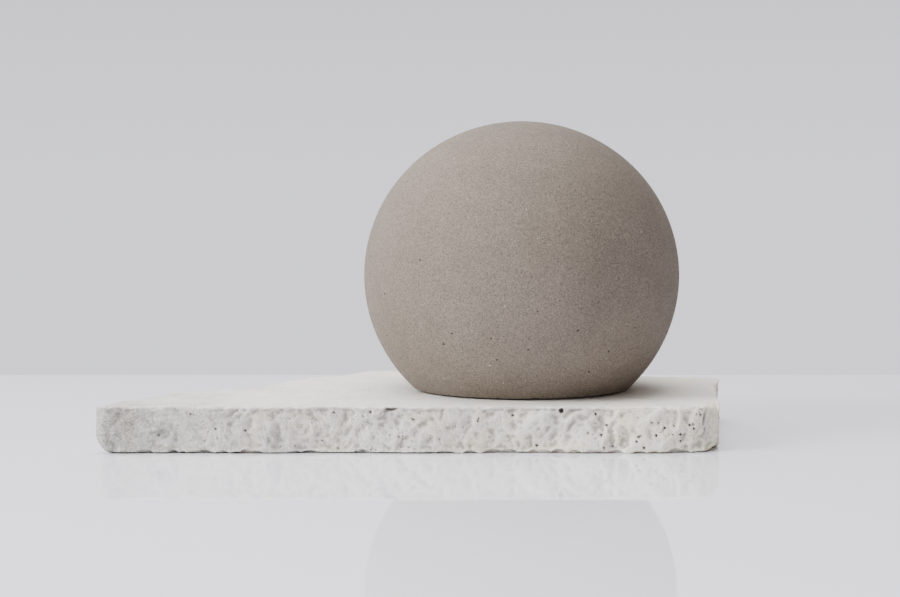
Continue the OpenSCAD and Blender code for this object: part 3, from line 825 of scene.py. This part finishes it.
def chip_edge(grid, count, edge_z, up, sizes, bites):
    """Balls with their middles outside the edge; a point inside one moves out to its surface."""
    at = chip_rng.integers(0, len(outline), count)
    radius = chip_rng.uniform(*sizes, count) * MM
    bite = np.minimum(chip_rng.uniform(*bites, count) ** 2 * MM, 0.5 * radius)
    lean = chip_rng.uniform(0.35, 1.25, count)
    away = np.stack([-inward[at, 0] * np.cos(lean), -inward[at, 1] * np.cos(lean), up * np.sin(lean)], -1)
    edge = np.stack([*(outline[at] + inward[at] * 0.8 * MM).T, np.full(count, edge_z)], -1)
    for middle, r in zip(edge + away * (radius - bite)[:, None], radius):
        gap = grid - middle
        length = np.linalg.norm(gap, axis=-1, keepdims=True)
        grid = np.where(length < r, middle + gap / np.maximum(length, 1e-9) * r, grid)
    return grid


near_edge = slice(side_start - 7, side_end_row + 1)
edge_part = chip_edge(slab_grid[near_edge], CHIPS_ABOVE, slab_top, 1, (1.5, 8.0), (0.35, 1.1))
edge_part = chip_edge(edge_part, CHIPS_BELOW, 0.0, -1, (3.0, 9.0), (0.5, 1.4))
edge_part = np.clip(edge_part, (slab_low.x, slab_low.y, 0), (slab_high.x, slab_high.y, slab_top))
moved = np.linalg.norm(edge_part - slab_grid[near_edge], axis=-1).max()
slab_grid[near_edge] = edge_part
print(f"chips up to {moved / MM:.1f} mm deep")

# %% [markdown]
# ## Pinholes and a leaf-shaped hollow
# The front has a few dozen small pits, more of them towards the right. Three larger marks are listed:
# a round pit under the top edge, a long leaf-shaped hollow and a flat bite. Each is half an
# ellipsoid cut inwards, and where two meet the deeper one counts.

# %% Pits of the front
# Each is (along, up, half width, half height, depth) in millimetres, and a turn in radians
PITS = [(15.5, 19.0, 1.25, 1.25, 1.9, 0.0),
        (79.5, 15.2, 0.8, 4.4, 0.62, -0.18),
        (-60.0, 19.9, 3.4, 1.1, 0.9, 0.1)]
EVERYWHERE, MORE_RIGHT = 30, 16
pit_rng = np.random.default_rng(4)
pit_x = np.r_[pit_rng.uniform(-185, 84, EVERYWHERE), pit_rng.uniform(24, 78, MORE_RIGHT)]
pit_z = pit_rng.uniform(1.5, 19.0, len(pit_x))
pit_r = pit_rng.uniform(0.42, 0.74, len(pit_x))
pits = PITS + [(x, z, r, r, 1.5 * r, 0.0) for x, z, r in zip(pit_x, pit_z, pit_r)]
front = slab_grid[side_start:side_end_row]
is_front = front[..., 1] < slab_low.y + FRONT_BAND
pit_depth = np.zeros(front.shape[:2])
for x, z, wide, tall, deep, turn in pits:
    dx, dz = front[..., 0] - x * MM, front[..., 2] - z * MM
    c, s = math.cos(turn), math.sin(turn)
    out = ((dx * c + dz * s) / (wide * MM)) ** 2 + ((dz * c - dx * s) / (tall * MM)) ** 2
    pit_depth = np.maximum(pit_depth, deep * MM * np.clip(1 - out, 0, 1) ** 0.5 * is_front)
slab_grid[side_start:side_end_row] = front + push[None] * pit_depth[..., None]
print(len(pits), "pits, the deepest", round(float(pit_depth.max()) / MM, 2), "mm")

# %% [markdown]
# ## Dust and painted shade in the hollows
# Where the stone lies deeper than round about, it is darkened: partly dust, partly painted shade. Each
# point of the side therefore stores how far it lies behind the average of its neighbours, and every pit
# counts as a hollow too.

# %% Depth of the hollows, and the slab as a mesh
height_in = ((slab_grid[side_start:side_end_row, :, :2] - outline[None]) * inward[None]).sum(-1)
smooth_in = np.stack([averaged(row[:, None], 9)[:, 0] for row in height_in])
smooth_in = (smooth_in + np.roll(smooth_in, 2, 0) + np.roll(smooth_in, -2, 0)) / 3
dirt_and_shade = np.zeros(slab_grid.shape[:2])
near_front = np.where(seen_close, 1.0, 0.4)
behind = np.clip((height_in - smooth_in) / (0.5 * MM), 0, 0.55) * near_front
dirt_and_shade[side_start:side_end_row] = np.maximum(behind, np.clip(pit_depth / (0.8 * MM), 0, 1))
slab_faces = [grid_cells(*slab_grid.shape[:2])]
slab = put_mesh("slab_broken", slab_grid, slab_faces, merge=1e-7, hollow=dirt_and_shade.ravel())
place_piece(slab, "slab", "slab_stone", slab_material, "slab")

# %% [markdown]
# ## Plastics, rubber and felt
# Moulded parts come out of steel tools that were spark-eroded, which leaves an even orange-peel grain.
# One function makes them all: a base colour, a slow cloud that varies it by a few per cent, a grain
# that breaks the gloss, and fine dust that settles at random.

# %% Moulded finishes
def moulded(name, colour, rough, grain=0.6, depth=0.02, spread=0.12):
    """Colour varied by a slow cloud, and a fine moulded grain in millimetres across and deep."""
    f = Finish(name)
    cloud = f.noise(9 * MM, 4, 0.6)
    peel = f.noise(grain * MM, 2, 0.5)
    dust = f.ramp(f.noise(2.2 * MM, 5, 0.75), (0.58, 0.0), (0.75, 1.0))
    dark = tuple(c * (1 - spread) for c in colour)
    light = tuple(min(1.0, c * (1 + spread * 0.5)) for c in colour)
    base = f.ramp(cloud, (0.30, dark), (0.70, light))
    base = f.mix(f.times(dust, 0.10), base, (0.62, 0.58, 0.54))
    tone = f.ramp(f.mix(0.5, peel, dust), (0.25, max(0.02, rough - 0.09)), (0.75, min(1.0, rough + 0.10)))
    return f.done(base, tone, f.bump(peel, depth * MM))


def felt():
    """Pressed wool: short fibres show as two stretched noises crossed over one another."""
    f = Finish("ring_felt", Roughness=1.0)
    one = f.noise(1.0 * MM, 3, 0.7, f.mapped((3, 0.6, 1), (0.3, 0.2, 0.5)))
    two = f.noise(1.0 * MM, 3, 0.7, f.mapped((0.6, 3, 1), (0.1, 0.4, -0.6)))
    fibre = f.mix(0.5, one, two)
    base = f.ramp(fibre, (0.35, (0.035, 0.032, 0.030)), (0.65, (0.13, 0.12, 0.11)))
    return f.done(base, 1.0, f.bump(fibre, 0.25 * MM))


case_finish = moulded("case_plastic", (0.74, 0.73, 0.70), 0.52)
bezel_finish = moulded("bezel_plastic", (0.80, 0.79, 0.76), 0.30, 0.4, 0.008)
cover_finish = moulded("cover_plastic", (0.60, 0.59, 0.57), 0.55)
reflector_finish = moulded("reflector_plastic", (0.88, 0.88, 0.87), 0.16, 2.0, 0.01, 0.04)
rubber_finish = moulded("seal_rubber", (0.028, 0.027, 0.027), 0.72, 0.5, 0.02, 0.3)
switch_finish = moulded("switch_black", (0.030, 0.030, 0.034), 0.42, 0.5, 0.012, 0.2)
plunger_finish = moulded("switch_red", (0.50, 0.050, 0.028), 0.35, 0.4, 0.01, 0.15)
felt_finish = felt()
print("moulded finishes and felt made")

# %% [markdown]
# ## The lens
# The lens is pressed like a button and spreads the light of three diodes. Its plastic is milky, so a
# part of the light passes and the rest is scattered inside. Tiny pips moulded under it do the
# spreading, and show through as a regular fine pattern. The top gets faint scuffs from fingers.

# %% Lens, diodes and board
def lens_finish():
    """Milky plastic: part of the light passes, and the pips under it show as a regular pattern."""
    f = Finish("lens_plastic", Roughness=0.32)
    f.shader.inputs["Transmission Weight"].default_value = 0.38
    f.shader.inputs["IOR"].default_value = 1.49
    pips = f.ramp(f.cells(1.1 * MM), (0.15, 1.0), (0.62, 0.0))
    scuff = f.noise(3 * MM, 6, 0.75, f.mapped((1, 6, 1), (0, 0, 0.6)))
    base = f.ramp(f.noise(14 * MM, 3), (0.3, (0.86, 0.84, 0.78)), (0.7, (0.92, 0.90, 0.85)))
    base = f.mix(f.times(pips, 0.14), base, (1.0, 0.99, 0.96))
    return f.done(base, f.ramp(scuff, (0.4, 0.26), (0.7, 0.46)), f.bump(pips, 0.05 * MM))


def diode_finish():
    """Clear resin over yellow phosphor: the phosphor's disc is found by the height in the part."""
    f = Finish("diode", Roughness=0.18)
    f.shader.inputs["Coat Weight"].default_value = 0.6
    grain = f.cells(0.35 * MM, "Color")
    body = f.ramp(grain, (0.0, (0.80, 0.80, 0.77)), (1.0, (0.92, 0.92, 0.90)))
    glow = f.ramp(grain, (0.0, (0.82, 0.60, 0.10)), (1.0, (0.95, 0.78, 0.22)))
    upper = f.math("GREATER_THAN", f.axis("Z"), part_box("leds")[1].z - 0.5 * MM)
    return f.done(f.mix(upper, body, glow), f.ramp(grain, (0, 0.12), (1, 0.3)), f.bump(grain, 0.01 * MM))


def board_finish():
    """Glass cloth under green lacquer: the weave shows as two crossed waves, with bright traces."""
    f = Finish("board_laminate", Roughness=0.35)
    inputs = {"Vector": f.place, "Scale": 1 / (3.2 * MM)}
    wave = [f.add("ShaderNodeTexWave", inputs, bands_direction=way) for way in ("X", "Y")]
    weave = f.mix(0.5, wave[0].outputs["Fac"], wave[1].outputs["Fac"])
    base = f.ramp(weave, (0.2, (0.018, 0.085, 0.045)), (0.8, (0.028, 0.125, 0.066)))
    lines = f.math("ABSOLUTE", f.math("SUBTRACT", f.noise(7 * MM, 0), 0.5))
    trace = f.ramp(lines, (0.010, 1.0), (0.016, 0.0))
    base = f.mix(f.times(trace, 0.55), base, (0.06, 0.24, 0.12))
    return f.done(base, f.ramp(weave, (0, 0.28), (1, 0.42)), f.bump(trace, 0.03 * MM))


# %% [markdown]
# ## Metals
# Wire and screws are plated steel, drawn and rolled, so their scratches run along the metal. Plating is
# never even: a slow cloud shifts its colour, and the scratches shift its gloss.

# %% Plated metal
def plated(name, colour, rough, stretch=(1, 1, 1), tarnish=0.15):
    """Metal of one colour; tarnish darkens it in clouds, and stretch draws its scratches out."""
    f = Finish(name, Metallic=1.0)
    cloud = f.noise(4 * MM, 4, 0.65)
    lines = f.noise(0.5 * MM, 3, 0.7, f.mapped(stretch))
    dark = tuple(c * (1 - 2.2 * tarnish) for c in colour)
    base = f.ramp(cloud, (0.32, dark), (0.62, colour))
    base = f.mix(0.25, base, f.ramp(lines, (0.3, 0.35), (0.7, 0.62)), "OVERLAY")
    return f.done(base, f.ramp(lines, (0.3, rough - 0.08), (0.7, rough + 0.12)), f.bump(lines, 0.008 * MM))


spring_finish = plated("spring_steel", (0.66, 0.66, 0.67), 0.26)
contact_finish = plated("contact_nickel", (0.72, 0.69, 0.63), 0.30, (1, 1, 5))
screw_finish = plated("screw_steel", (0.64, 0.65, 0.68), 0.28, (4, 4, 1), 0.1)


def cell_finish():
    """A printed sleeve with a copper-coloured end band; bare plated steel shows at both ends."""
    f = Finish("cell_jacket")
    band = f.attribute("band")
    cloud = f.noise(6 * MM, 4, 0.6)
    blue = f.ramp(cloud, (0.3, (0.030, 0.062, 0.090)), (0.7, (0.045, 0.085, 0.118)))
    copper = f.ramp(cloud, (0.3, (0.42, 0.20, 0.09)), (0.7, (0.52, 0.26, 0.12)))
    steel = f.ramp(cloud, (0.3, (0.52, 0.52, 0.51)), (0.7, (0.68, 0.67, 0.65)))
    base = f.mix(f.ramp(band, (0.30, 0.0), (0.34, 1.0)), blue, copper)
    bare = f.ramp(band, (0.72, 0.0), (0.76, 1.0))
    base = f.mix(bare, base, steel)
    f.feed(f.shader.inputs["Metallic"], f.math("ADD", f.times(bare, 0.6), 0.4))
    scuff = f.noise(1.5 * MM, 4, 0.7, f.mapped((0.3, 2, 2)))
    return f.done(base, f.ramp(scuff, (0.35, 0.22), (0.7, 0.42)), f.bump(scuff, 0.006 * MM))


# %% [markdown]
# ## Dressing the carried-over parts
# The case, bezel, cover, seal, reflector, board, diodes, switch, contacts, screws and feet keep their
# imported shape, which is exact. A bevel modifier is not needed on them, for their edges are already as
# a mould leaves them. Each only changes its finish.

# %% Finish of each carried-over part
finishes = {
    "seat_ring": felt_finish, "lamp_housing": case_finish, "lamp_bezel": bezel_finish,
    "lamp_lens": lens_finish(), "reflector": reflector_finish, "circuit_board": board_finish(),
    "leds": diode_finish(), "switch_case": switch_finish, "switch_plunger": plunger_finish,
    "contact_plates": contact_finish, "battery_cover": cover_finish, "cover_seal": rubber_finish,
    "board_screws": screw_finish, "lamp_feet": rubber_finish,
}
for node, finish in finishes.items():
    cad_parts[node].data.materials.clear()
    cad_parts[node].data.materials.append(finish)
print(len(finishes), "carried-over parts dressed")

# %% [markdown]
# ## Springs
# A coil spring is a small circle swept along a helix. The first parameter runs along the wire and the
# second round it. A real spring has flat ends: its first and last turns lie almost closed, so the
# climb eases in and out. The three cell springs also widen from the tip to the base.

# %% Coils
def coil(name, radii, wire, length, turns, origin, axis):
    """Wire of a radius, swept on a helix from radii[0] to radii[1], easing its climb at both ends."""
    steps, sides = int(turns * 40), 14
    t = np.linspace(0, 1, steps + 1)
    climb = length * (t - 0.11 * np.sin(TAU * t))
    r = radii[0] + (radii[1] - radii[0]) * climb / length
    turn = TAU * turns * t
    line = np.stack([r * np.cos(turn), r * np.sin(turn), climb], -1)
    run = np.gradient(line, axis=0)
    run /= np.linalg.norm(run, axis=1, keepdims=True)
    out = np.stack([np.cos(turn), np.sin(turn), 0 * turn], -1)
    up = np.cross(run, out)
    ring_turn = (np.arange(sides) / sides * TAU)[None, :, None]
    body = line[:, None] + wire * (np.cos(ring_turn) * out[:, None] + np.sin(ring_turn) * up[:, None])
    ends = [np.repeat(line[k][None, None], sides, 1) for k in (0, -1)]
    grid = np.concatenate([ends[0], body, ends[1]]).reshape(-1, 3)
    side_a = np.cross(axis, (0.0, 1.0, 0.0))
    turned_to = np.stack([side_a, np.cross(axis, side_a), axis])
    return put_mesh(name, grid @ turned_to + np.asarray(origin), [grid_cells(steps + 3, sides)])


low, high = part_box("lens_spring")
lens_wire = 0.3 * MM
lens_r = (high.x - low.x) / 2 - lens_wire
lens_coil = coil("lens_coil", (lens_r, lens_r), lens_wire, high.z - low.z - 2 * lens_wire, 4.5,
                 (0, 0, low.z + lens_wire), np.array([0, 0, 1.0]))
place_piece(lens_coil, "lamp", "spring_steel", spring_finish, "lens_spring")
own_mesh(lens_coil)

cell_boxes = [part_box(f"battery_cell_{n}") for n in (1, 2, 3)]
contact_low, contact_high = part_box("contact_springs")
cell_wire = 0.25 * MM
cell_coils = []


def button_way(cell_low, cell_high):
    """1 if the cell's button points along X, -1 if against it: the button's end lies farther out."""
    return 1 if abs(cell_high.x) > abs(cell_low.x) else -1


for n, (cell_low, cell_high) in enumerate(cell_boxes, 1):
    way = button_way(cell_low, cell_high)
    end = contact_low.x if way > 0 else contact_high.x
    bottom = cell_low.x if way > 0 else cell_high.x
    room = abs(bottom - end) - 2 * cell_wire - 0.05 * MM
    middle = (end + way * cell_wire, (cell_low.y + cell_high.y) / 2, (cell_low.z + cell_high.z) / 2)
    radii = (2.8 * MM, 1.9 * MM)
    cell_coils.append(coil(f"cell_coil_{n}", radii, cell_wire, room, 3.5, middle, np.array([way, 0, 0.0])))
bpy.context.view_layer.update()
with bpy.context.temp_override(active_object=cell_coils[0], selected_editable_objects=cell_coils):
    bpy.ops.object.join()
place_piece(cell_coils[0], "lamp", "spring_steel", spring_finish, "contact_springs")

# %% [markdown]
# ## Cells
# A cell is a turned shape: a button, a shoulder, a long sleeve whose end is rolled in, and a flat
# bottom. The profile is drawn once as distance along the cell against radius, and carried round.

# %% The three cells
def cell_shape(name, cell_low, cell_high, way):
    """A lathe along X. Each point also stores its band: 0 sleeve, 0.5 end band, 1 bare steel."""
    r = (cell_high.z - cell_low.z) / 2 / MM
    end = (cell_high.x - cell_low.x) / MM
    profile = np.array([
        (0.0, 0.0, 1), (0.0, 1.5, 1), (0.15, 1.85, 1), (0.3, 1.9, 1), (0.95, 1.9, 1), (1.05, 2.1, 1),
        (1.1, 3.4, 1), (1.0, 3.9, 1), (1.0, 4.1, 0.5), (1.02, r - 0.7, 0.5), (1.2, r - 0.25, 0.5),
        (1.6, r - 0.03, 0.5), (2.1, r, 0.5), (11.5, r, 0.5), (11.7, r, 0), (end - 1.1, r, 0),
        (end - 0.5, r - 0.1, 0), (end - 0.12, r - 0.5, 0), (end - 0.05, r - 0.9, 0),
        (end - 0.1, r - 1.1, 1), (end, r - 1.4, 1), (end, 1.0, 1), (end, 0.0, 1)])
    profile[:, :2] *= MM
    sides = 56
    turn = np.arange(sides) / sides * TAU
    x = profile[:, :1] + 0 * turn
    grid = np.stack([x, profile[:, 1:2] * np.cos(turn), profile[:, 1:2] * np.sin(turn)], -1)
    grid[..., 0] = cell_high.x - grid[..., 0] if way > 0 else cell_low.x + grid[..., 0]
    grid[..., 1] += (cell_low.y + cell_high.y) / 2
    grid[..., 2] += (cell_low.z + cell_high.z) / 2
    return put_mesh(name, grid, [grid_cells(len(profile), sides)], band=np.repeat(profile[:, 2], sides))


jacket = cell_finish()
for n, (cell_low, cell_high) in enumerate(cell_boxes, 1):
    cell = cell_shape(f"cell_{n}", cell_low, cell_high, button_way(cell_low, cell_high))
    place_piece(cell, "lamp", "cell_jacket", jacket, f"battery_cell_{n}")

# %% [markdown]
# ## The table
# The lantern stands on a glossy white board, which mirrors the lower part of the stone. The board
# ends a little way behind the slab, and above its far edge the wall shows.

# %% Table top
def stage_material():
    """A smooth, hardly rough white, with a stronger mirror than plain plastic has."""
    f = Finish("table_white", Roughness=0.035)
    f.shader.inputs["Base Color"].default_value = (0.92, 0.92, 0.98, 1)
    f.shader.inputs["Specular IOR Level"].default_value = 0.8
    return f.material


floor = put_mesh("table_top", np.array([[-1.6, -1.9, 0], [1.6, -1.9, 0], [1.6, 0.28, 0], [-1.6, 0.28, 0]]),
                 [np.array([[0, 1, 2, 3]])], outwards=False)
floor.data.materials.append(stage_material())

# %% [markdown]
# ## The studio
# The room is bright on the left and dim and warm on the right, which gives the globe its one dark
# side. Only the light differs by side: the wall that is seen behind is an even pale grey that gets a
# little darker upwards. A small window on the left draws the shadows, and a ceiling light fills them.

# %% Room light
WALL = (0.925, 0.92, 1.0)
DIM = (0.13, 0.085, 0.060)
BRIGHTNESS = 1.34


def studio_world():
    """What lights the room changes along X. What the eye sees is one grey that darkens upwards."""
    world = bpy.data.worlds.new("studio")
    graph = Graph(world)
    place = graph.add("ShaderNodeTexCoord").outputs["Generated"]
    split = graph.add("ShaderNodeSeparateXYZ", {"Vector": place}).outputs
    room = graph.ramp(split["X"], (0.22, WALL), (0.60, DIM))
    upwards = graph.ramp(split["Z"], (0.0, 1.0), (0.085, 0.86))
    seen = graph.add("ShaderNodeLightPath").outputs["Is Camera Ray"]
    shown = graph.mix(seen, room, WALL)
    background = graph.tree.nodes["Background"]
    graph.feed(background.inputs["Color"], graph.mix(1.0, shown, upwards, "MULTIPLY"))
    background.inputs["Strength"].default_value = BRIGHTNESS
    return world


bpy.context.scene.world = studio_world()


def soft_light(name, place, aim, width, power):
    """A square area light of a width in metres and a power in watts, turned to shine at a point."""
    data = bpy.data.lights.new(name, "AREA")
    data.shape = "SQUARE"
    data.size = width
    data.energy = power
    lamp = bpy.data.objects.new(name, data)
    bpy.context.scene.collection.objects.link(lamp)
    lamp.location = place
    lamp.rotation_euler = (Vector(aim) - Vector(place)).to_track_quat("-Z", "Y").to_euler()


soft_light("window", (-1.5, -0.66, 0.85), (0, 0, 0.06), 0.8, 47)
soft_light("ceiling", (-0.25, 0.05, 1.5), (0, 0, 0.0), 1.4, 33)
print("room light, window and ceiling light made")

# %% [markdown]
# ## The camera
# A long lens a metre away looks at the lantern from just above its middle, tilted down by a few
# degrees, so the globe looks round and the slab's front shows its whole height.

# %% Camera
TILT_DOWN = 3.6
camera_data = bpy.data.cameras.new("camera")
camera_data.lens = 85
camera_data.sensor_width = 36
camera_data.clip_start = 0.01
camera = bpy.data.objects.new("camera", camera_data)
bpy.context.scene.collection.objects.link(camera)
camera.location = (-0.034, -1.012, 0.128)
camera.rotation_euler = (math.radians(90 - TILT_DOWN), 0, 0)
bpy.context.scene.camera = camera
print("camera at", tuple(round(value, 3) for value in camera.location))
